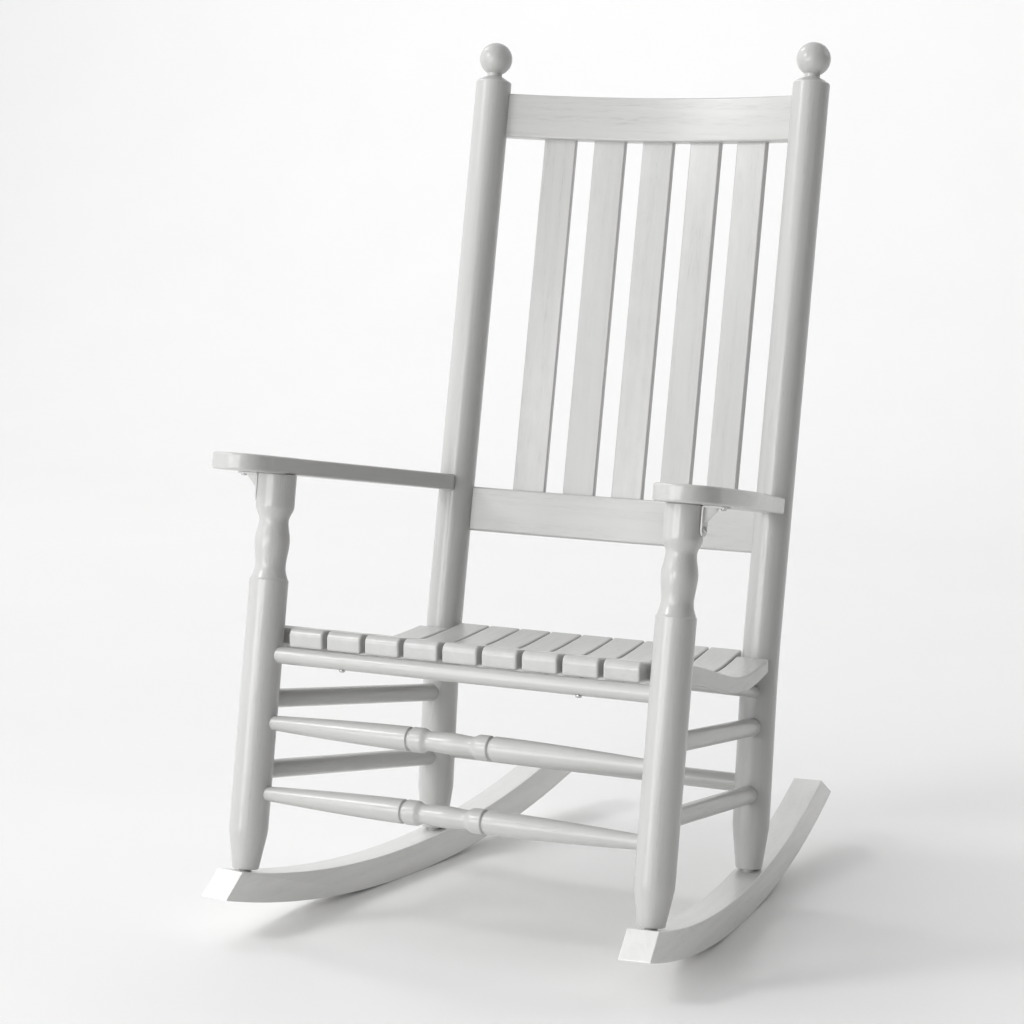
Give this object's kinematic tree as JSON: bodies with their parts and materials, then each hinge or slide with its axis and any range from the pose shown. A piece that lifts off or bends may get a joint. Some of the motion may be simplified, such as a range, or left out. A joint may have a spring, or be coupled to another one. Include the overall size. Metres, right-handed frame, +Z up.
{
  "type": "rocking chair",
  "caption": "High-backed porch rocking chair of painted wood: turned posts, slatted back, contoured slat seat, flat arms and curved rockers.",
  "frame": {"origin": "on the floor plane, midway between the two sides and midway between the rockers' front and rear tips", "axes": "+Z up, +X to the sitter's left, the sitter looks along -Y"},
  "size_m": [0.707, 0.841, 1.1397],
  "materials": {
    "painted_wood": "light grey satin paint over open-grained hardwood",
    "painted_brace": "pressed steel, painted with the chair",
    "zinc_screw": "zinc plated"
  },
  "bodies": {
    "root": {"rocker_left": "painted_wood", "rocker_right": "painted_wood", "front_post_left": "painted_wood", "front_post_right": "painted_wood", "back_post_left": "painted_wood", "back_post_right": "painted_wood", "arm_left": "painted_wood", "arm_right": "painted_wood", "seat_rail_left": "painted_wood", "seat_rail_right": "painted_wood", "side_stretcher_upper_left": "painted_wood", "side_stretcher_upper_right": "painted_wood", "side_stretcher_lower_left": "painted_wood", "side_stretcher_lower_right": "painted_wood", "seat_slat_1": "painted_wood", "seat_slat_2": "painted_wood", "seat_slat_3": "painted_wood", "seat_slat_4": "painted_wood", "seat_slat_5": "painted_wood", "seat_slat_6": "painted_wood", "seat_slat_7": "painted_wood", "seat_slat_8": "painted_wood", "seat_slat_9": "painted_wood", "seat_slat_10": "painted_wood", "seat_slat_11": "painted_wood", "back_slat_1": "painted_wood", "back_slat_2": "painted_wood", "back_slat_3": "painted_wood", "back_slat_4": "painted_wood", "back_slat_5": "painted_wood", "top_rail": "painted_wood", "lower_back_rail": "painted_wood", "seat_rail_front": "painted_wood", "seat_rail_rear": "painted_wood", "rear_stretcher": "painted_wood", "front_stretcher_upper": "painted_wood", "front_stretcher_lower": "painted_wood", "arm_brace_left": "painted_brace", "arm_brace_right": "painted_brace", "brace_screw_upper_left": "zinc_screw", "brace_screw_upper_right": "zinc_screw", "brace_screw_lower_left": "zinc_screw", "brace_screw_lower_right": "zinc_screw", "arm_screw_left": "zinc_screw", "arm_screw_right": "zinc_screw", "seat_screw_left": "zinc_screw", "seat_screw_right": "zinc_screw"}
  },
  "joints": []
}
